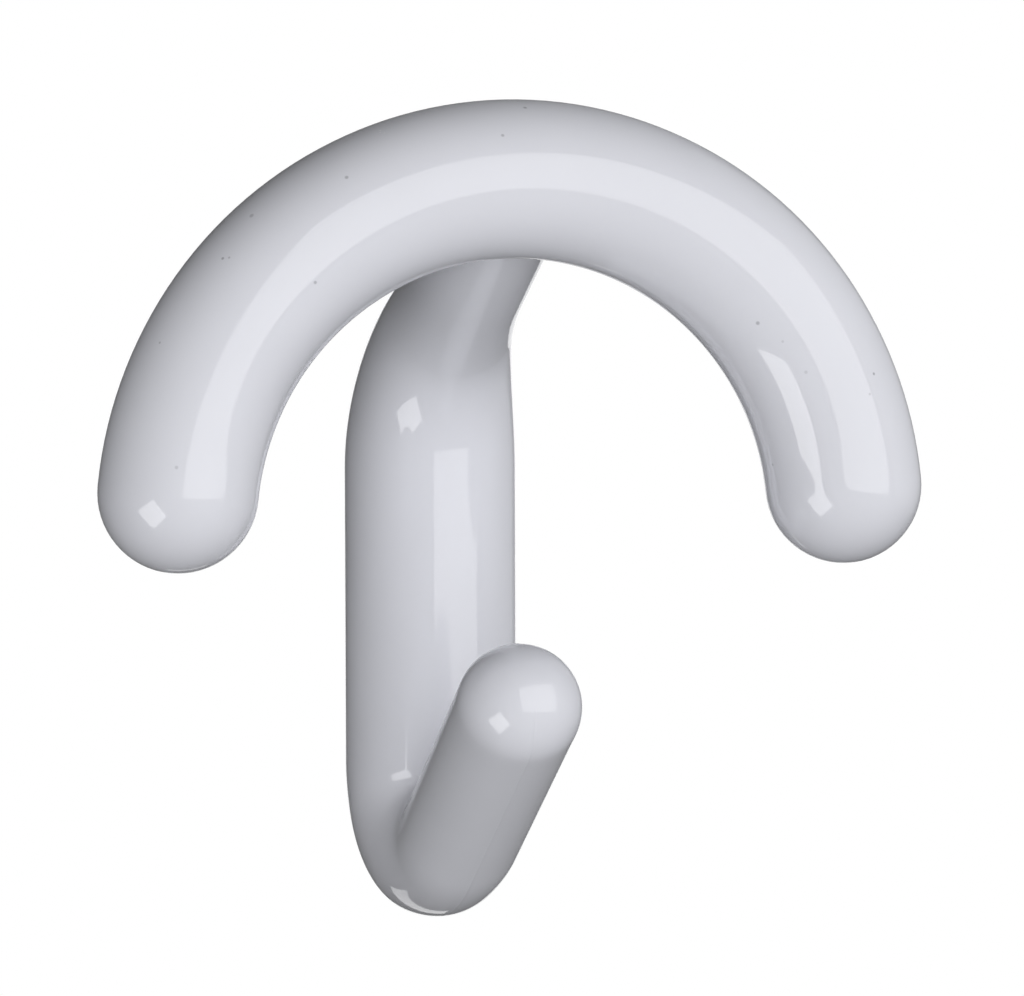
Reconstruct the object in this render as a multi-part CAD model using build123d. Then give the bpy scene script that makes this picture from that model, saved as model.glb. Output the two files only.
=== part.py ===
# Hat and coat hook, moulded in one piece: an upright round stem with a flat back, a neck that bends
# forward to carry an arched hat bar, and a single coat hook that turns up from the foot of the stem.
# Millimetres. The wall is the plane y = 0, the hook stands out along -Y, +Z is up, and the origin is
# the centre of the flat back, midway between its two screw holes.
from build123d import *
from math import atan2, cos, radians, sin, sqrt, tan
import os

# Hat arch
arch_bar_diameter = 20.0
arch_radius = 43.5          # centre of the arch to the bar's centreline
arch_half_span = 84.0       # degrees from the apex to each end
arch_reach = 46.0           # stem axis forward to the plane of the arch
arch_rise = 57.5            # origin up to the centreline at the apex

# Stem
stem_diameter = 23.0
wall_gap = 8.0              # stem axis to the wall: less than the radius, so the back is flat
flat_edge_radius = 0.6

# Neck
neck_diameter = 15.3
neck_pitch = 27.5           # degrees above level
neck_bend_radius = 22.5
neck_taper_length = 34.5    # along the neck, from the top of the stem
neck_fillet = 1.2           # where the neck runs into the arch

# Coat hook
hook_bar_diameter = 16.0
hook_pitch = 32.0           # degrees above level
hook_straight = 35.0        # end of the heel to the middle of the ball end
crotch_drop = 19.8          # origin down to the middle of the crotch's curve
crotch_radius = 1.0
heel_ball_drop = 9.2        # crotch centre down to the centre of the stem's round end
heel_slim_share = 0.8       # share of the heel's turn over which its width goes to the hook's

# Screw holes in the flat back, one above and one below the origin
screw_hole_diameter = 4.2
screw_hole_depth = 14.0
screw_hole_spacing = 30.0

# Worked out from the above
arch_bar_radius = arch_bar_diameter / 2
stem_radius = stem_diameter / 2
neck_radius = neck_diameter / 2
hook_bar_radius = hook_bar_diameter / 2
stem_y = -wall_gap
arch_y = stem_y - arch_reach
neck_turn = 90.0 - neck_pitch
hook_turn = 90.0 + hook_pitch
neck_bend_length = neck_bend_radius * radians(neck_turn)
neck_bend_tangent = neck_bend_radius * tan(radians(neck_turn / 2))
neck_straight = arch_reach / cos(radians(neck_pitch)) - neck_bend_tangent
stem_top = arch_rise - arch_reach * tan(radians(neck_pitch)) - neck_bend_tangent


def ease(share):
    """Smooth step from 0 to 1, level at both ends."""
    share = min(max(share, 0.0), 1.0)
    return share * share * (3 - 2 * share)


def square_to(centre, heading):
    """Plane across a bar that runs in the mid-plane, its first direction to the side."""
    return Plane(origin=centre, x_dir=(1, 0, 0), z_dir=heading)


def disc(centre, heading, radius):
    return square_to(centre, heading) * Circle(radius)


def oval(centre, heading, width_radius, depth_radius):
    """Disc stretched to its width, across the mid-plane, and its depth, in it."""
    return square_to(centre, heading) * scale(Circle(1.0), by=(width_radius, depth_radius, 1.0))


def ball_end(centre, heading, radius):
    """Half ball that closes a bar's end."""
    half_ball = Sphere(radius, arc_size1=0, align=(Align.CENTER, Align.CENTER, Align.MIN))
    return Plane(origin=centre, z_dir=heading) * half_ball


def swept_bar(stations):
    """Bar of changing thickness through (centre, heading, width radius, depth radius) stations."""
    centres = [station[0] for station in stations]
    route = Spline(*centres, tangents=[stations[0][1], stations[-1][1]])
    return sweep([oval(*station) for station in stations], path=route, multisection=True)


def make_arch():
    """Round bar bent to an arc, with ball ends."""
    middle = Vector(0, arch_y, arch_rise - arch_radius)
    ends = []
    for side in (-1, 1):
        angle = radians(arch_half_span) * side
        centre = middle + Vector(sin(angle), 0, cos(angle)) * arch_radius
        heading = Vector(cos(angle), 0, -sin(angle)) * side
        ends.append((centre, heading))
    start, heading = ends[0]
    bar_end = Plane(origin=start, x_dir=start - middle, z_dir=heading) * Circle(arch_bar_radius)
    arch = revolve(bar_end, Axis(middle, (0, 1, 0)), 2 * arch_half_span)
    for centre, heading in ends:
        arch += ball_end(centre, heading, arch_bar_radius)
    return arch


def make_stem():
    foot = disc((0, stem_y, -crotch_drop), (0, 0, 1), stem_radius)
    return extrude(foot, stem_top + crotch_drop)


def slimmed(share):
    """Radius on the way from the stem's to the neck's."""
    return stem_radius + (neck_radius - stem_radius) * ease(share)


def make_neck():
    """Bends forward out of the stem while it slims, then runs straight into the arch."""
    stations = []
    bend_steps = 7
    for step in range(bend_steps + 1):
        angle = radians(neck_turn) * step / bend_steps
        centre = Vector(0, stem_y, stem_top) + Vector(0, cos(angle) - 1, sin(angle)) * neck_bend_radius
        heading = Vector(0, -sin(angle), cos(angle))
        radius = slimmed(neck_bend_radius * angle / neck_taper_length)
        stations.append((centre, heading, radius, radius))
    bend_end, forward = centre, heading
    taper_run = neck_taper_length - neck_bend_length
    taper_steps = 3
    for step in range(1, taper_steps + 1):
        run = taper_run * step / taper_steps
        radius = slimmed((neck_bend_length + run) / neck_taper_length)
        stations.append((bend_end + forward * run, forward, radius, radius))
    slim_end = disc(bend_end + forward * taper_run, forward, neck_radius)
    return swept_bar(stations) + extrude(slim_end, neck_straight - taper_run)


def reach_to_arc(angle, arc):
    """Crotch centre to an arc given by its centre, towards the wall and down, and its radius."""
    back, down, radius = arc
    along = back * cos(angle) + down * sin(angle)
    return along + sqrt(along**2 - back**2 - down**2 + radius**2)


def seen_at(arc, turn):
    """Angle from the crotch centre to the point of an arc at that turn."""
    back, down, radius = arc
    return atan2(down + radius * sin(turn), back + radius * cos(turn))


def heel_reach(angle):
    """Crotch centre to the outside of the heel: down the stem's back, round its ball end and along a
    flatter sole to where the hook's underside runs straight. The angle turns from level, towards the
    wall, through straight down."""
    full_turn = radians(hook_turn)
    to_back = crotch_radius + stem_diameter
    to_underside = crotch_radius + hook_bar_diameter
    ball = (crotch_radius + stem_radius, heel_ball_drop, stem_radius)
    ball_outward = ball[0] * cos(full_turn) + ball[1] * sin(full_turn)
    ball_away = ball[0]**2 + ball[1]**2
    sole_radius = to_underside**2 - stem_radius**2 - 2 * to_underside * ball_outward + ball_away
    sole_radius /= 2 * (to_underside - stem_radius - ball_outward)
    sole_inset = to_underside - sole_radius
    sole = (sole_inset * cos(full_turn), sole_inset * sin(full_turn), sole_radius)
    meeting = atan2(ball[1] - sole[1], ball[0] - sole[0])
    if angle < seen_at(ball, 0):
        return to_back / cos(angle)
    if angle < seen_at(ball, meeting):
        return reach_to_arc(angle, ball)
    return reach_to_arc(angle, sole)


def make_coat_hook():
    """Heel that turns about the crotch while it slims, then a straight bar with a ball end."""
    crotch = Vector(0, stem_y - stem_radius - crotch_radius, -crotch_drop)
    stations = []
    heel_steps = 10
    for step in range(heel_steps + 1):
        share = step / heel_steps
        angle = radians(hook_turn) * share
        slimming = ease(share / heel_slim_share)
        width_radius = stem_radius + (hook_bar_radius - stem_radius) * slimming
        depth_radius = (heel_reach(angle) - crotch_radius) / 2
        centre = crotch + Vector(0, cos(angle), -sin(angle)) * (crotch_radius + depth_radius)
        heading = Vector(0, -sin(angle), -cos(angle))
        stations.append((centre, heading, width_radius, depth_radius))
    bar = extrude(disc(centre, heading, hook_bar_radius), hook_straight)
    return swept_bar(stations) + bar + ball_end(centre + heading * hook_straight, heading, hook_bar_radius)


def make_screw_holes():
    """Blind holes that open in the flat back."""
    hole = Rot(90, 0, 0) * Cylinder(screw_hole_diameter / 2, 2 * screw_hole_depth)
    return [Pos(0, 0, side * screw_hole_spacing / 2) * hole for side in (-1, 1)]


def join_with_fillet(arch, neck):
    joined = arch + neck
    arch_face = joined.faces().filter_by(GeomType.TORUS)[0]
    neck_face = joined.faces().filter_by(GeomType.CYLINDER)[0]
    return fillet(arch_face.edges() & neck_face.edges(), neck_fillet)


def make_hook_body():
    """The whole moulding, cut flat where it meets the wall and bored for its screws."""
    body = join_with_fillet(make_arch(), make_neck()) + make_stem() + make_coat_hook()
    size = body.bounding_box().size
    beyond_wall = Box(2 * size.X, size.Y, 2 * size.Z, align=(Align.CENTER, Align.MIN, Align.CENTER))
    body -= beyond_wall
    flat_back = body.faces().sort_by(Axis.Y)[-1]
    body = fillet(flat_back.edges(), flat_edge_radius)
    return body - make_screw_holes()


os.makedirs("parts", exist_ok=True)
export_step(make_hook_body(), "parts/hook_body.step")
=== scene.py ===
# Hat and coat hook of moulded grey-white nylon, in a plain white studio.
# Metres. The wall is the plane y = 0, the hook stands out along -Y and +Z is up.
import bmesh
import bpy
import math
from mathutils import Matrix, Vector


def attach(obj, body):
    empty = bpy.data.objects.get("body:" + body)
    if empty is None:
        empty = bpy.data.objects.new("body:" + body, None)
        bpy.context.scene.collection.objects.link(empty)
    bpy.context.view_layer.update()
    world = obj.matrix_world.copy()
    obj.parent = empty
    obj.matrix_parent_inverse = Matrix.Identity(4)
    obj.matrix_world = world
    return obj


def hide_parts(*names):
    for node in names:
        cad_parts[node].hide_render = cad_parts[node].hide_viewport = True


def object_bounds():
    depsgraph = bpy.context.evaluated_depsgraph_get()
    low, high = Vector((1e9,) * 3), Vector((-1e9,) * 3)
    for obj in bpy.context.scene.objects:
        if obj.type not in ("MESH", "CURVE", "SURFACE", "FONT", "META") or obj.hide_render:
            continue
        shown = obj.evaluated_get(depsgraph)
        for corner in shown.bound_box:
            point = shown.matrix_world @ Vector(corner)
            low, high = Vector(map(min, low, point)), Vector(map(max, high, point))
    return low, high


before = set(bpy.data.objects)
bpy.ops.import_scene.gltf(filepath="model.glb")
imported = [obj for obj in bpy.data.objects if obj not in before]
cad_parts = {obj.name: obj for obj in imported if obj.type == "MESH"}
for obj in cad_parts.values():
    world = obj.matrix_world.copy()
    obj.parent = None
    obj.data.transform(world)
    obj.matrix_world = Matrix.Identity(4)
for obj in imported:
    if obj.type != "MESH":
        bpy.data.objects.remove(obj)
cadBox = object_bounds()
mm = 0.001
print("frame loaded:", sorted(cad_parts))


def linearColour(hexColour):
    channels = [int(hexColour[i:i + 2], 16) / 255 for i in (1, 3, 5)]
    return [c / 12.92 if c <= 0.04045 else ((c + 0.055) / 1.055) ** 2.4 for c in channels] + [1.0]


def addNode(tree, kind, settings=None, values=None, links=None):
    node = tree.nodes.new(kind)
    for name, value in (settings or {}).items():
        setattr(node, name, value)
    for socket, value in (values or {}).items():
        node.inputs[socket].default_value = value
    for socket, source in (links or {}).items():
        tree.links.new(source, node.inputs[socket])
    return node


def newMaterial(name):
    material = bpy.data.materials.new(name)
    material.use_nodes = True
    material.node_tree.nodes.clear()
    return material, material.node_tree


# Camera: a long lens, a little to the left of the hook and just above it
cameraSetup = {
    "aim": (0.0, -0.008, 0.0575),     # the stem's axis, at the height of the arch's apex
    "azimuth": -14.61,
    "elevation": 2.05,
    "roll": -0.18,
    "distance": 0.680,
    "offsetRight": 0.01118,
    "offsetUp": -0.04163,
    "lens": 177.86,
    "sensor": 36.0,
}


def cameraAxes(setup):
    azimuth = math.radians(setup["azimuth"])
    elevation = math.radians(setup["elevation"])
    roll = math.radians(setup["roll"])
    back = Vector((math.sin(azimuth) * math.cos(elevation), -math.cos(azimuth) * math.cos(elevation),
                   math.sin(elevation)))
    level = Vector((math.cos(azimuth), math.sin(azimuth), 0.0))
    upright = back.cross(level)
    right = level * math.cos(roll) + upright * math.sin(roll)
    up = upright * math.cos(roll) - level * math.sin(roll)
    return right, up, back


# Puts an object at a place with its own X, Y and Z along three directions
def setAxes(item, place, axes):
    item.matrix_world = Matrix.Translation(place) @ Matrix(axes).transposed().to_4x4()


def makeCamera(setup):
    right, up, back = cameraAxes(setup)
    data = bpy.data.cameras.new("studioCamera")
    data.lens = setup["lens"]
    data.sensor_width = setup["sensor"]
    camera = bpy.data.objects.new("studioCamera", data)
    bpy.context.scene.collection.objects.link(camera)
    place = Vector(setup["aim"]) + right * setup["offsetRight"] + up * setup["offsetUp"]
    setAxes(camera, place + back * setup["distance"], (right, up, back))
    bpy.context.scene.camera = camera


makeCamera(cameraSetup)
print("camera ready")

# Hook: one moulding, built as a tube from the hook's tip to the arch, and the arch round its end.
# Millimetres and degrees, as the part is drawn
hookBuild = {
    "archBar": 20.0,
    "archRadius": 43.5,
    "archHalfSpan": 84.0,
    "archReach": 46.0,
    "archRise": 57.5,
    "stemBar": 23.0,
    "wallGap": 8.0,
    "backEdge": 0.5,          # how far the rounding at the edge of the flat back reaches
    "neckBar": 15.3,
    "neckPitch": 27.5,
    "neckBend": 22.5,
    "neckTaper": 34.5,
    "neckFillet": 1.2,
    "hookBar": 16.0,
    "hookPitch": 32.0,
    "hookStraight": 35.0,
    "crotchDrop": 19.8,
    "crotchRadius": 1.0,
    "heelBallDrop": 9.2,      # crotch down to the centre of the stem's round end
    "heelSlimShare": 0.8,     # share of the heel's turn over which it slims
    "screwHole": 4.2,
    "screwDepth": 14.0,
    "screwSpacing": 30.0,
    "screwWindow": 4.4,       # half of the square that each hole is let into
    "partingLift": 0.03,      # the mould's parting line, a fine ridge along the hook's mid-plane
    "partingSpread": 0.9,     # degrees of the bar's turn on each side of it
    "tubePoints": 96,
    "tipRings": 16,
    "barRings": 24,
    "heelRings": 64,
    "stemRings": 54,
    "bendRings": 34,
    "neckRings": 10,
    "neckClearance": 0.5,     # last ring of the neck to where the fillet starts
    "filletRings": 5,
    "filletHalvings": 40,     # steps that close in on where the fillet touches
    "collarRings": 5,
    "archPoints": 108,
    "archStep": 2.0,
    "archWindow": (8, 18),    # steps along and points round the bar, from the middle of the neck
    "lipShares": (0.35, 0.7, 0.9, 1.0),     # rings from each hole's square in to its lip
    "boreShares": (0.1, 0.4, 0.7, 1.0),     # rings down each hole, as shares of its depth
    "sharpAngle": 40.0,
}
sideways = Vector((1.0, 0.0, 0.0))
upwards = Vector((0.0, 0.0, 1.0))


def ease(share):
    share = min(max(share, 0.0), 1.0)
    return share * share * (3 - 2 * share)


# The turn of each point round the tube, closer together at the parting line
def ringTurns(build):
    step = 360 / build["tubePoints"]
    spread = build["partingSpread"]
    turns = []
    for number in range(build["tubePoints"]):
        turn = number * step
        if turn % 180 == 90:
            turns += [turn - spread, turn - spread / 2, turn, turn + spread / 2, turn + spread]
        else:
            turns.append(turn)
    return turns


# How far a point stands out on the parting line's ridge
def partingLift(build, turn):
    away = abs(turn % 180 - 90)
    return build["partingLift"] * ease(1 - away / build["partingSpread"])


def tubeRing(build, centre, heading, width, depth, lifted=0.0):
    outward = heading.cross(sideways)
    ring = []
    for turn in ringTurns(build):
        lift = partingLift(build, turn) * lifted
        angle = math.radians(turn)
        ring.append(centre + sideways * (width + lift) * math.cos(angle)
                    + outward * (depth + lift) * math.sin(angle))
    return ring


# From the crotch's centre to the outside of the heel: the stem's back, its ball end, then a flatter sole
def heelReach(build, angle):
    fullTurn = math.radians(90 + build["hookPitch"])
    stemRadius = build["stemBar"] / 2
    toBack = build["crotchRadius"] + build["stemBar"]
    toUnderside = build["crotchRadius"] + build["hookBar"]
    ball = (build["crotchRadius"] + stemRadius, build["heelBallDrop"], stemRadius)
    ballOutward = ball[0] * math.cos(fullTurn) + ball[1] * math.sin(fullTurn)
    ballAway = ball[0] ** 2 + ball[1] ** 2
    soleRadius = toUnderside ** 2 - stemRadius ** 2 - 2 * toUnderside * ballOutward + ballAway
    soleRadius /= 2 * (toUnderside - stemRadius - ballOutward)
    soleInset = toUnderside - soleRadius
    sole = (soleInset * math.cos(fullTurn), soleInset * math.sin(fullTurn), soleRadius)
    meeting = math.atan2(ball[1] - sole[1], ball[0] - sole[0])
    ballStarts = math.atan2(ball[1], toBack)
    ballEnds = math.atan2(ball[1] + stemRadius * math.sin(meeting), ball[0] + stemRadius * math.cos(meeting))
    if angle < ballStarts:
        return toBack / math.cos(angle)
    inwards, down, radius = ball if angle < ballEnds else sole
    along = inwards * math.cos(angle) + down * math.sin(angle)
    return along + math.sqrt(along ** 2 - inwards ** 2 - down ** 2 + radius ** 2)


# The coat hook's ball end and straight bar, from its tip to the heel
def barRings(build, tip, inward):
    radius = build["hookBar"] / 2
    rings = []
    for number in range(1, build["tipRings"] + 1):
        latitude = math.radians(90 - 90 * number / build["tipRings"])
        narrow = radius * math.cos(latitude)
        place = tip - inward * radius * math.sin(latitude)
        rings.append(tubeRing(build, place, inward, narrow, narrow, math.cos(latitude)))
    for number in range(1, build["barRings"]):
        centre = tip + inward * build["hookStraight"] * number / build["barRings"]
        rings.append(tubeRing(build, centre, inward, radius, radius, 1.0))
    return rings


# Rings of the hook and heel, from the hook's ball end up to the foot of the stem
def hookRings(build):
    stemRadius = build["stemBar"] / 2
    hookRadius = build["hookBar"] / 2
    fullTurn = math.radians(90 + build["hookPitch"])
    crotch = Vector((0, -build["wallGap"] - stemRadius - build["crotchRadius"], -build["crotchDrop"]))
    inward = Vector((0, math.sin(fullTurn), math.cos(fullTurn)))
    toHeelEnd = Vector((0, math.cos(fullTurn), -math.sin(fullTurn))) * (build["crotchRadius"] + hookRadius)
    tip = crotch + toHeelEnd - inward * build["hookStraight"]
    rings = barRings(build, tip, inward)
    for number in range(build["heelRings"] + 1):
        share = 1 - number / build["heelRings"]
        angle = fullTurn * share
        slimming = ease(share / build["heelSlimShare"])
        width = stemRadius + (hookRadius - stemRadius) * slimming
        depth = (heelReach(build, angle) - build["crotchRadius"]) / 2
        toCentre = Vector((0, math.cos(angle), -math.sin(angle))) * (build["crotchRadius"] + depth)
        heading = Vector((0, math.sin(angle), math.cos(angle)))
        rings.append(tubeRing(build, crotch + toCentre, heading, width, depth, ease(2 * share - 1)))
    return tip - inward * hookRadius, rings


# Turn of the neck's bend, its straight run to the arch's centreline, where it starts and where it heads
def neckFacts(build):
    pitch = math.radians(build["neckPitch"])
    turn = math.pi / 2 - pitch
    tangent = build["neckBend"] * math.tan(turn / 2)
    straight = build["archReach"] / math.cos(pitch) - tangent
    stemTop = build["archRise"] - build["archReach"] * math.tan(pitch) - tangent
    forward = Vector((0, -math.cos(pitch), math.sin(pitch)))
    return turn, straight, stemTop, forward


def neckRadius(build, along):
    stemRadius = build["stemBar"] / 2
    slimRadius = build["neckBar"] / 2
    return stemRadius + (slimRadius - stemRadius) * ease(along / build["neckTaper"])


# Rings of the neck, up to the middle of the arch's bar less the given distance
def neckRings(build, stopShort):
    turn, straight, stemTop, forward = neckFacts(build)
    start = Vector((0, -build["wallGap"], stemTop))
    rings = []
    for number in range(1, build["bendRings"] + 1):
        angle = turn * number / build["bendRings"]
        centre = start + Vector((0, math.cos(angle) - 1, math.sin(angle))) * build["neckBend"]
        heading = Vector((0, -math.sin(angle), math.cos(angle)))
        radius = neckRadius(build, build["neckBend"] * angle)
        rings.append(tubeRing(build, centre, heading, radius, radius))
    bendEnd = centre
    for number in range(1, build["neckRings"] + 1):
        along = (straight - stopShort) * number / build["neckRings"]
        radius = neckRadius(build, build["neckBend"] * turn + along)
        rings.append(tubeRing(build, bendEnd + forward * along, forward, radius, radius))
    return rings


def archMiddle(build):
    return Vector((0, -build["wallGap"] - build["archReach"], build["archRise"] - build["archRadius"]))


# A point of the arch's bar: degrees along the arch from its apex, and round the bar from its outside
def archPoint(build, along, around, radius=None):
    radius = build["archBar"] / 2 if radius is None else radius
    along, around = math.radians(along), math.radians(around)
    outward = Vector((math.sin(along), 0, math.cos(along)))
    toPoint = outward * (build["archRadius"] + radius * math.cos(around))
    return archMiddle(build) + toPoint + Vector((0, 1, 0)) * radius * math.sin(around)


# The other way: a point's degrees along and round the bar, and how far it is from the bar's centreline
def archPlace(build, point):
    away = point - archMiddle(build)
    inPlane = math.hypot(away.x, away.z) - build["archRadius"]
    along = math.degrees(math.atan2(away.x, away.z))
    return along, math.degrees(math.atan2(away.y, inPlane)), math.hypot(inPlane, away.y)


# Degrees round the arch's bar to each of its points, counted from the middle of the neck
def archAround(build, number):
    return 90 + build["neckPitch"] + 360 * number / build["archPoints"]


# Small fillet rolled between neck and arch, one arc for each point of the neck's ring. The places say
# where each arc ends on the arch
def filletRings(build):
    forward = neckFacts(build)[3]
    fillet = build["neckFillet"]
    target = build["archBar"] / 2 + fillet
    apex = archPoint(build, 0, 0, 0.0)
    outward = forward.cross(sideways)
    rings = [[] for number in range(build["filletRings"] + 1)]
    places = []
    for turn in ringTurns(build):
        angle = math.radians(turn)
        spoke = sideways * math.cos(angle) + outward * math.sin(angle)
        foot = apex + spoke * (build["neckBar"] / 2 + fillet)
        near, far = 0.0, 3 * target
        for halving in range(build["filletHalvings"]):
            middle = (near + far) / 2
            if archPlace(build, foot - forward * middle)[2] > target:
                far = middle
            else:
                near = middle
        ball = foot - forward * far
        along, around = archPlace(build, ball)[:2]
        places.append((along, around))
        toNeck = -spoke
        toArch = (archPoint(build, along, around) - ball).normalized()
        opening = toNeck.angle(toArch)
        for number, ring in enumerate(rings):
            share = number / build["filletRings"]
            blend = toNeck * math.sin((1 - share) * opening) + toArch * math.sin(share * opening)
            ring.append(ball + blend.normalized() * fillet)
    return rings, places


# Stations of the window that the arch's grid leaves open for the neck, in the order of the neck's points
def windowStations(build):
    half, side = build["archWindow"]
    stations = [(half, number) for number in range(0, -side, -1)]
    stations += [(number, -side) for number in range(half, -half, -1)]
    stations += [(-half, number) for number in range(-side, side)]
    stations += [(number, side) for number in range(-half, half)]
    stations += [(half, number) for number in range(side, 0, -1)]
    return stations


# The flat back: whatever would stand past the wall is pressed onto it, with a rounded edge
def pressed(build, point):
    near = max(build["backEdge"] - abs(point.y), 0)
    return Vector((point.x, min(point.y, 0) - near ** 2 / (4 * build["backEdge"]), point.z))


# The shape is the mesh while it grows: its points, and faces that number them
def addRing(shape, ring):
    first = len(shape["points"])
    shape["points"].extend(ring)
    return list(range(first, len(shape["points"])))


def bridge(shape, ring, following, gaps=()):
    count = len(ring)
    for number in range(count):
        after = (number + 1) % count
        if number not in gaps:
            shape["faces"].append((ring[number], ring[after], following[after], following[number]))


# Adds rings one after another, each bridged to the one before, and gives back the last
def bridgeOn(shape, earlier, rings):
    for ring in rings:
        later = addRing(shape, ring)
        bridge(shape, earlier, later)
        earlier = later
    return earlier


def closeWith(shape, pole, ring):
    centre = addRing(shape, [pole])[0]
    for number in range(len(ring)):
        shape["faces"].append((ring[number], ring[(number + 1) % len(ring)], centre))


# Gaps between the tube's points that lie within the holes' squares
def holeColumns(build):
    stemRadius = build["stemBar"] / 2
    inside = [number for number, turn in enumerate(ringTurns(build))
              if turn < 180 and abs(stemRadius * math.cos(math.radians(turn))) < build["screwWindow"]]
    return range(inside[0], inside[-1])


# Height of each screw hole, with the tube's rings below and above its square
def holeWindows(build, heelTop, stemStep):
    windows = []
    for side in (-1, 1):
        height = side * build["screwSpacing"] / 2
        low, high = [heelTop + round((height + reach + build["crotchDrop"]) / stemStep)
                     for reach in (-build["screwWindow"], build["screwWindow"])]
        windows.append((height, low, high))
    return windows


def letInHole(shape, build, tube, columns, window):
    height, low, high = window
    first, last = columns[0], columns[-1] + 1
    edge = [tube[low][number] for number in range(first, last)]
    edge += [tube[number][last] for number in range(low, high)]
    edge += [tube[high][number] for number in range(last, first, -1)]
    edge += [tube[number][first] for number in range(high, low, -1)]
    centre = Vector((0, 0, height))
    corners = [shape["points"][number] for number in edge]
    spokes = [(corner - centre).normalized() * build["screwHole"] / 2 for corner in corners]
    flat = [[corner + (centre + spoke - corner) * share for corner, spoke in zip(corners, spokes)]
            for share in build["lipShares"]]
    middles = [centre - Vector((0, build["screwDepth"] * share, 0)) for share in build["boreShares"]]
    bore = [[middle + spoke for spoke in spokes] for middle in middles]
    closeWith(shape, middles[-1], bridgeOn(shape, edge, flat + bore))


# Hook, heel, stem and neck as one tube, with the screw holes let into its flat back
def buildTube(shape, build, collar):
    pole, rings = hookRings(build)
    stemTop, forward = neckFacts(build)[2:]
    stemRadius = build["stemBar"] / 2
    heelTop = len(rings) - 1
    stemStep = (stemTop + build["crotchDrop"]) / build["stemRings"]
    for number in range(1, build["stemRings"] + 1):
        centre = Vector((0, -build["wallGap"], number * stemStep - build["crotchDrop"]))
        rings.append(tubeRing(build, centre, upwards, stemRadius, stemRadius))
    deepest = max((archPoint(build, 0, 0, 0.0) - point).dot(forward) for point in collar[0])
    rings += neckRings(build, deepest + build["neckClearance"])
    tube = [addRing(shape, [pressed(build, point) for point in ring]) for ring in rings]
    closeWith(shape, pole, tube[0])
    columns = holeColumns(build)
    windows = holeWindows(build, heelTop, stemStep)
    for number in range(len(tube) - 1):
        inWindow = any(low <= number < high for height, low, high in windows)
        bridge(shape, tube[number], tube[number + 1], columns if inWindow else ())
    for window in windows:
        letInHole(shape, build, tube, columns, window)
    return tube


# Arch with ball ends, and a window in its grid round the neck
def buildArch(shape, build):
    span = round(build["archHalfSpan"] / build["archStep"])
    arounds = [archAround(build, number) for number in range(build["archPoints"])]
    rows = [addRing(shape, [archPoint(build, number * build["archStep"], around) for around in arounds])
            for number in range(-span, span + 1)]
    half, side = build["archWindow"]
    gap = [number % build["archPoints"] for number in range(-side, side)]
    for number in range(2 * span):
        bridge(shape, rows[number], rows[number + 1], gap if span - half <= number < span + half else ())
    radius = build["archBar"] / 2
    for end, row in ((-1, rows[0]), (1, rows[-1])):
        along = end * build["archHalfSpan"]
        turn = math.radians(along)
        heading = Vector((math.cos(turn), 0, -math.sin(turn))) * end
        rings = []
        for number in range(1, build["tipRings"]):
            latitude = math.radians(90 * number / build["tipRings"])
            rings.append([archPoint(build, along, around, radius * math.cos(latitude))
                          + heading * radius * math.sin(latitude) for around in arounds])
        pole = archPoint(build, along, 0, 0.0) + heading * radius
        closeWith(shape, pole, bridgeOn(shape, row, rings))
    return rows


# Neck into arch: the fillet, then a collar that spreads over the bar to the window's edge
def joinNeck(shape, build, neckEnd, collar, places, rows):
    stations = windowStations(build)
    edgePlaces = [(step * build["archStep"], archAround(build, number)) for step, number in stations]
    rings = list(collar)
    for number in range(1, build["collarRings"]):
        share = number / build["collarRings"]
        rings.append([archPoint(build, near[0] + (far[0] - near[0]) * share,
                                near[1] + (far[1] - near[1]) * share)
                      for near, far in zip(places, edgePlaces)])
    spread = bridgeOn(shape, neckEnd, rings)
    apexRow = len(rows) // 2
    edge = [rows[apexRow + step][number % build["archPoints"]] for step, number in stations]
    bridge(shape, spread, edge)


def buildHook(build):
    shape = {"points": [], "faces": []}
    collar, places = filletRings(build)
    tube = buildTube(shape, build, collar)
    rows = buildArch(shape, build)
    joinNeck(shape, build, tube[-1], collar, places, rows)
    mesh = bpy.data.meshes.new("hookBody")
    mesh.from_pydata([point * mm for point in shape["points"]], [], shape["faces"])
    work = bmesh.new()
    work.from_mesh(mesh)
    bmesh.ops.recalc_face_normals(work, faces=work.faces)
    openEdges = [edge for edge in work.edges if not edge.is_manifold]
    work.to_mesh(mesh)
    work.free()
    mesh.shade_smooth()
    mesh.set_sharp_from_angle(angle=math.radians(build["sharpAngle"]))
    print("hook built:", len(mesh.polygons), "faces,", len(openEdges), "open edges")
    hook = bpy.data.objects.new("hookMoulding", mesh)
    bpy.context.scene.collection.objects.link(hook)
    return hook


nylonLook = {
    "colour": "#DFE0E7",
    "cloudColour": "#DADBE2",     # faint clouds in the moulding
    "cloudSize": 14.0,            # mm
    "cloudSoftness": (2.0, 0.4),  # the noise's detail and how rough it is
    "roughness": 0.04,
    "smudgeRoughness": 0.065,
    "smudgeSize": 9.0,            # mm
    "smudgeSoftness": (3.0, 0.5),
    "smudgeReach": (0.45, 0.75),  # noise levels between which the polish turns dull
    "ior": 1.53,
    "waveSize": 5.0,              # mm, the slow unevenness of a moulded skin
    "waveHeight": 0.012,
    "speckColour": "#6E6F78",
    "nickColour": "#F4F4F6",
    "spotEdge": (0.4, 1.25),      # shares of a spot's radius between which it fades out
}
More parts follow.
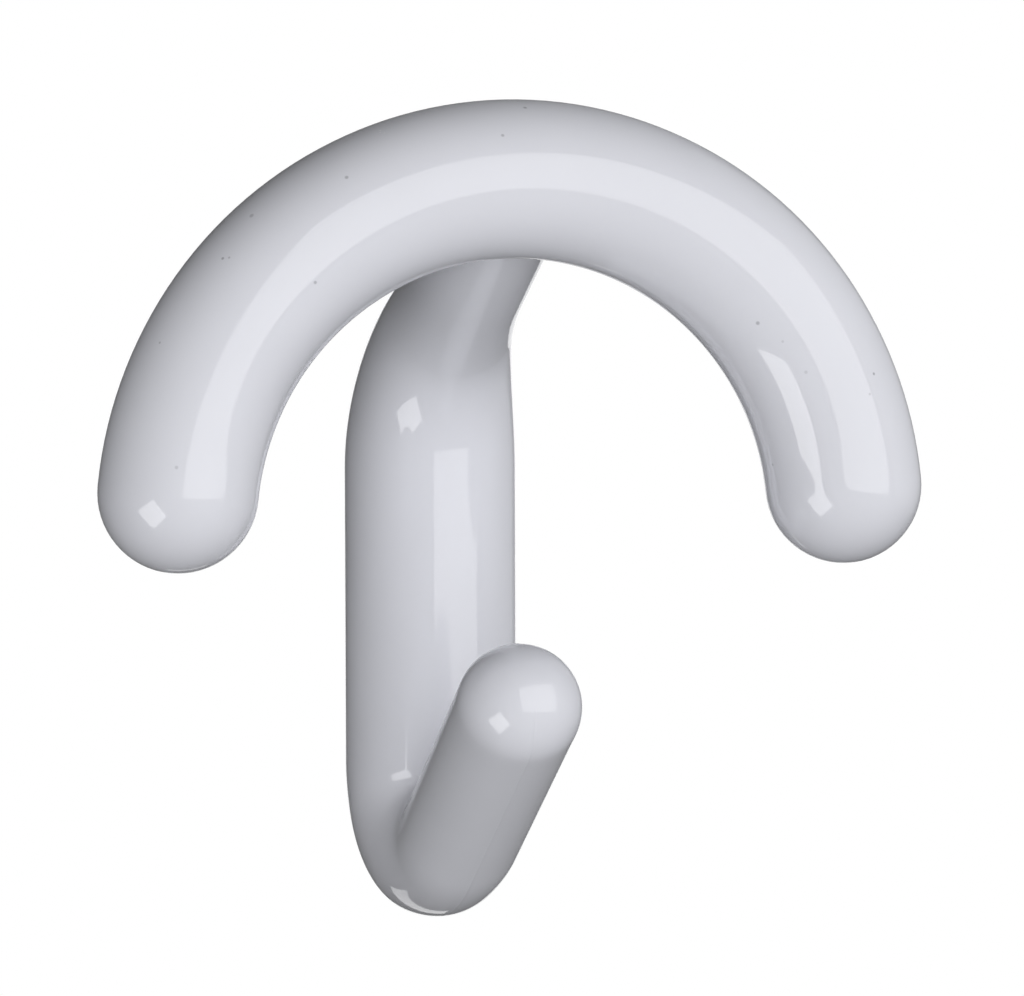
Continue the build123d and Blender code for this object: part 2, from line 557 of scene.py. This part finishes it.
# Specks and nicks as they lie on the arch: degrees along it, degrees round the bar, radius in mm, strength
specks = [
    (-49.2, -39.5, 0.22, 0.55), (-48.6, -43.5, 0.17, 0.4), (-42.0, -30.5, 0.34, 0.35),
    (-28.5, -54.0, 0.27, 0.45), (-4.5, -58.0, 0.24, 0.4), (0.0, -29.0, 0.28, 0.5),
    (-42.5, -102.5, 0.24, 0.45), (-63.5, -32.5, 0.18, 0.4), (49.0, -119.5, 0.28, 0.45),
    (67.0, -61.5, 0.22, 0.55), (69.5, -72.0, 0.2, 0.25), (61.5, -110.0, 0.26, 0.2),
    (-80.0, -75.5, 0.25, 0.25), (54.5, -113.0, 0.2, 0.2), (77.5, -165.5, 0.2, 0.3),
]
nicks = [(-20.4, -24.0, 0.13, 0.8), (-20.6, -26.5, 0.12, 0.7), (-20.2, -29.5, 0.1, 0.5)]


# Round spots at points of the arch, soft at the edge
def spotMask(tree, place, spots, look):
    inner, outer = look["spotEdge"]
    mask = None
    for along, around, radius, strength in spots:
        centre = archPoint(hookBuild, along, around) * mm
        away = addNode(tree, "ShaderNodeVectorMath", {"operation": "DISTANCE"},
                       values={1: centre}, links={0: place})
        spot = addNode(tree, "ShaderNodeMapRange", {"interpolation_type": "SMOOTHSTEP"}, values={
            "From Min": radius * inner * mm, "From Max": radius * outer * mm,
            "To Min": strength, "To Max": 0.0}, links={"Value": away.outputs["Value"]})
        if mask is None:
            mask = spot.outputs["Result"]
        else:
            mask = addNode(tree, "ShaderNodeMath", {"operation": "MAXIMUM"}, links={
                0: mask, 1: spot.outputs["Result"]}).outputs["Value"]
    return mask


# Nylon, injection moulded in a polished mould: a glossy, slightly bluish grey-white. It gives crisp
# reflections of the softboxes on an even pale body, with the few dust specks of the real one
def makeNylon(look):
    material, tree = newMaterial("mouldedNylon")
    output = addNode(tree, "ShaderNodeOutputMaterial")
    place = addNode(tree, "ShaderNodeTexCoord").outputs["Object"]
    detail, rough = look["cloudSoftness"]
    clouds = addNode(tree, "ShaderNodeTexNoise", values={
        "Scale": 1 / (look["cloudSize"] * mm), "Detail": detail, "Roughness": rough},
        links={"Vector": place})
    # Sockets 6 and 7 of a colour mix are its two colours
    colour = addNode(tree, "ShaderNodeMix", {"data_type": "RGBA"}, values={
        6: linearColour(look["colour"]), 7: linearColour(look["cloudColour"])},
        links={"Factor": clouds.outputs["Fac"]}).outputs[2]
    for spots, spotColour in ((specks, look["speckColour"]), (nicks, look["nickColour"])):
        colour = addNode(tree, "ShaderNodeMix", {"data_type": "RGBA"}, values={7: linearColour(spotColour)},
                         links={"Factor": spotMask(tree, place, spots, look), 6: colour}).outputs[2]
    detail, rough = look["smudgeSoftness"]
    smudges = addNode(tree, "ShaderNodeTexNoise", values={
        "Scale": 1 / (look["smudgeSize"] * mm), "Detail": detail, "Roughness": rough},
        links={"Vector": place})
    polished, dull = look["smudgeReach"]
    roughness = addNode(tree, "ShaderNodeMapRange", values={
        "From Min": polished, "From Max": dull,
        "To Min": look["roughness"], "To Max": look["smudgeRoughness"]},
        links={"Value": smudges.outputs["Fac"]})
    waves = addNode(tree, "ShaderNodeTexNoise", values={
        "Scale": 1 / (look["waveSize"] * mm), "Detail": 1.0}, links={"Vector": place})
    skin = addNode(tree, "ShaderNodeBump", values={
        "Strength": 1.0, "Distance": look["waveHeight"] * mm}, links={"Height": waves.outputs["Fac"]})
    shader = addNode(tree, "ShaderNodeBsdfPrincipled", values={"IOR": look["ior"]}, links={
        "Base Color": colour, "Roughness": roughness.outputs["Result"], "Normal": skin.outputs["Normal"]})
    tree.links.new(shader.outputs["BSDF"], output.inputs["Surface"])
    return material


hook = buildHook(hookBuild)
hook.data.materials.append(makeNylon(nylonLook))
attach(hook, "root")
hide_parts("hook_body")
print("hook dressed in", hook.data.materials[0].name)

# Studio. Directions are degrees to the right of the camera's and above it, seen from the hook
studio = {
    "middle": (0.0, -0.03, 0.015),
    "floorBelow": 0.75,           # under the hook's foot: the hook hangs in the air, as on a wall
    "floorSize": 8.0,
    "floorColour": "#E6E6E6",
    "floorGlow": 0.75,            # lifts the floor to white, and leaves it room for the hook's shadow
    "bounceColour": "#8C8C8C",    # what the floor gives back to the hook: darker than it looks
    "ambient": 0.085,
    "lampDistance": 0.9,
    "glossNearer": 0.01,          # two lamps in one plane would hide each other
    "tentRadius": 1.4,
    "tentSteps": 48,
    # painted glow: the dark cloth's grey is its own emission, standing for the spill light on it
    "tentGlow": 0.11,           # the dark grey that the gloss mirrors between the softboxes
    "tentOpening": 12.0,          # degrees all round the line from the camera through the hook
    "coverGap": 0.005,
}
# Each lamp has the angles that it fills, and its brightness apart for the body's shading and the gloss.
# The foot's strip stands close under the heel, and its place counts from there
lamps = {
    "keySoftbox": {"right": 37, "above": 13, "width": 65, "height": 46, "distance": 0.42,
                   "matt": 0.8, "gloss": 1.75},
    "smallSoftbox": {"right": -38, "above": -27, "width": 28, "height": 28, "turned": 30,
                     "matt": 1.8, "gloss": 3.2},
    "frontFill": {"right": -5, "above": -5, "width": 24, "height": 40, "matt": 4.9},
    "lowRightFill": {"right": 34, "above": -20, "width": 60, "height": 24, "matt": 1.3},
    "sidePanel": {"right": 95, "above": 25, "width": 50, "height": 60, "matt": 1.6},
    "sideSheet": {"right": 112, "above": 15, "width": 80, "height": 70, "distance": 1.1, "gloss": 0.22},
    "rightRim": {"right": 160, "above": 20, "width": 35, "height": 40, "matt": 4.6},
    "leftRim": {"right": -150, "above": 10, "width": 40, "height": 50, "matt": 0.5},
    "footStrip": {"right": -165, "above": -26, "width": 30, "height": 7, "distance": 0.12,
                  "from": (-0.005, -0.017, -0.038), "gloss": 0.9},
}


def stageMesh(name, corners, faces, material):
    mesh = bpy.data.meshes.new(name)
    mesh.from_pydata(corners, [], faces)
    mesh.materials.append(material)
    piece = bpy.data.objects.new(name, mesh)
    bpy.context.scene.collection.objects.link(piece)
    return piece


def studioDirection(view, toRight, above):
    right, up, back = cameraAxes(view)
    toRight, above = math.radians(toRight), math.radians(above)
    level = back * math.cos(toRight) + right * math.sin(toRight)
    return level * math.cos(above) + up * math.sin(above)


# Softbox of an even brightness, given by the angles that it fills as the hook sees it
def makeLamp(name, lamp, part, setup, view):
    direction = studioDirection(view, lamp["right"], lamp["above"])
    nearer = setup["glossNearer"] if part == "gloss" else 0.0
    distance = lamp.get("distance", setup["lampDistance"]) - nearer
    data = bpy.data.lights.new(name + part.title(), "AREA")
    data.shape = "RECTANGLE"
    data.size = 2 * distance * math.tan(math.radians(lamp["width"] / 2))
    data.size_y = 2 * distance * math.tan(math.radians(lamp["height"] / 2))
    data.energy = lamp[part] * math.pi * data.size * data.size_y
    light = bpy.data.objects.new(name + part.title(), data)
    bpy.context.scene.collection.objects.link(light)
    level = cameraAxes(view)[1].cross(direction).normalized()
    upright = direction.cross(level)
    turned = math.radians(lamp.get("turned", 0))
    across = level * math.cos(turned) + upright * math.sin(turned)
    along = upright * math.cos(turned) - level * math.sin(turned)
    place = Vector(lamp.get("from", setup["middle"])) + direction * distance
    setAxes(light, place, (across, along, direction))
    light.visible_camera = False
    light.visible_diffuse = part == "matt"
    light.visible_glossy = part == "gloss"
    return light


# What the camera sees directly, in gloss or through glass
def directSight(tree):
    path = addNode(tree, "ShaderNodeLightPath")
    either = addNode(tree, "ShaderNodeMath", {"operation": "MAXIMUM"}, links={
        0: path.outputs["Is Camera Ray"], 1: path.outputs["Is Glossy Ray"]})
    sight = addNode(tree, "ShaderNodeMath", {"operation": "MAXIMUM"}, links={
        0: either.outputs["Value"], 1: path.outputs["Is Transmission Ray"]})
    return sight.outputs["Value"]


# The floor looks white to the camera and in gloss, less the hook's shadow, and gives little back
def makeFloor(setup, level):
    half = setup["floorSize"] / 2
    corners = [(-half, -half, level), (half, -half, level), (half, half, level), (-half, half, level)]
    material, tree = newMaterial("paleFloor")
    output = addNode(tree, "ShaderNodeOutputMaterial")
    bounce = addNode(tree, "ShaderNodeBsdfDiffuse", values={"Color": linearColour(setup["bounceColour"])})
    matt = addNode(tree, "ShaderNodeBsdfDiffuse", values={"Color": linearColour(setup["floorColour"])})
    glow = addNode(tree, "ShaderNodeEmission", values={"Color": (1, 1, 1, 1), "Strength": setup["floorGlow"]})
    lifted = addNode(tree, "ShaderNodeAddShader", links={
        0: matt.outputs["BSDF"], 1: glow.outputs["Emission"]})
    mixed = addNode(tree, "ShaderNodeMixShader", links={
        0: directSight(tree), 1: bounce.outputs["BSDF"], 2: lifted.outputs["Shader"]})
    tree.links.new(mixed.outputs["Shader"], output.inputs["Surface"])
    stageMesh("floor", corners, [(0, 1, 2, 3)], material)


# Dark cloth round the set and just above the floor, which only the gloss sees. It is open straight behind the
# hook. Its dim grey is a painted glow, an emission that stands for the spill light on the cloth
def makeTent(setup, view, floorLevel):
    material, tree = newMaterial("glowingCloth")
    output = addNode(tree, "ShaderNodeOutputMaterial")
    # Painted glow: the cloth gives off this grey itself, in place of lamp light falling on it
    cloth = addNode(tree, "ShaderNodeEmission", values={
        "Color": (1, 1, 1, 1), "Strength": setup["tentGlow"]})
    tree.links.new(cloth.outputs["Emission"], output.inputs["Surface"])
    middle = Vector(setup["middle"])
    radius = setup["tentRadius"]
    behind = studioDirection(view, 180, 0)
    steps = setup["tentSteps"]
    corners, faces = [], []
    for row in range(steps // 2 + 1):
        for column in range(steps):
            towards = studioDirection(view, 360 * column / steps, -90 + 360 * row / steps)
            corners.append(middle + towards * radius)
    for row in range(steps // 2):
        for column in range(steps):
            low, high = row * steps, (row + 1) * steps
            after = (column + 1) % steps
            face = (low + column, low + after, high + after, high + column)
            centre = sum((corners[number] for number in face), Vector()) / 4 - middle
            if centre.angle(behind) > math.radians(setup["tentOpening"]):
                faces.append(face)
    tent = stageMesh("dimGlowTent", corners, faces, material)
    level = floorLevel + setup["coverGap"]
    reach = math.sqrt(radius ** 2 - (middle.z - level) ** 2)
    rim = [(middle.x + reach * math.cos(math.tau * column / steps),
            middle.y + reach * math.sin(math.tau * column / steps), level) for column in range(steps)]
    cover = stageMesh("dimGlowCover", rim, [tuple(range(steps))], material)
    for piece in (tent, cover):
        piece.visible_camera = False
        piece.visible_diffuse = False
        piece.visible_shadow = False
        piece.visible_transmission = False


def makeWorld(setup):
    world = bpy.data.worlds.new("studioWorld")
    bpy.context.scene.world = world
    world.use_nodes = True
    tree = world.node_tree
    tree.nodes.clear()
    dim = addNode(tree, "ShaderNodeBackground", values={"Color": (1, 1, 1, 1), "Strength": setup["ambient"]})
    white = addNode(tree, "ShaderNodeBackground", values={"Color": (1, 1, 1, 1), "Strength": 1.0})
    air = addNode(tree, "ShaderNodeMixShader", links={
        0: directSight(tree), 1: dim.outputs["Background"], 2: white.outputs["Background"]})
    addNode(tree, "ShaderNodeOutputWorld", links={"Surface": air.outputs["Shader"]})


softboxes = [makeLamp(name, lamp, part, studio, cameraSetup)
             for name, lamp in lamps.items() for part in ("matt", "gloss") if part in lamp]
floorLevel = cadBox[0][2] - studio["floorBelow"]
makeFloor(studio, floorLevel)
makeTent(studio, cameraSetup, floorLevel)
makeWorld(studio)
bpy.context.scene.view_settings.view_transform = "Standard"
print("studio ready:", len(softboxes), "lamps")
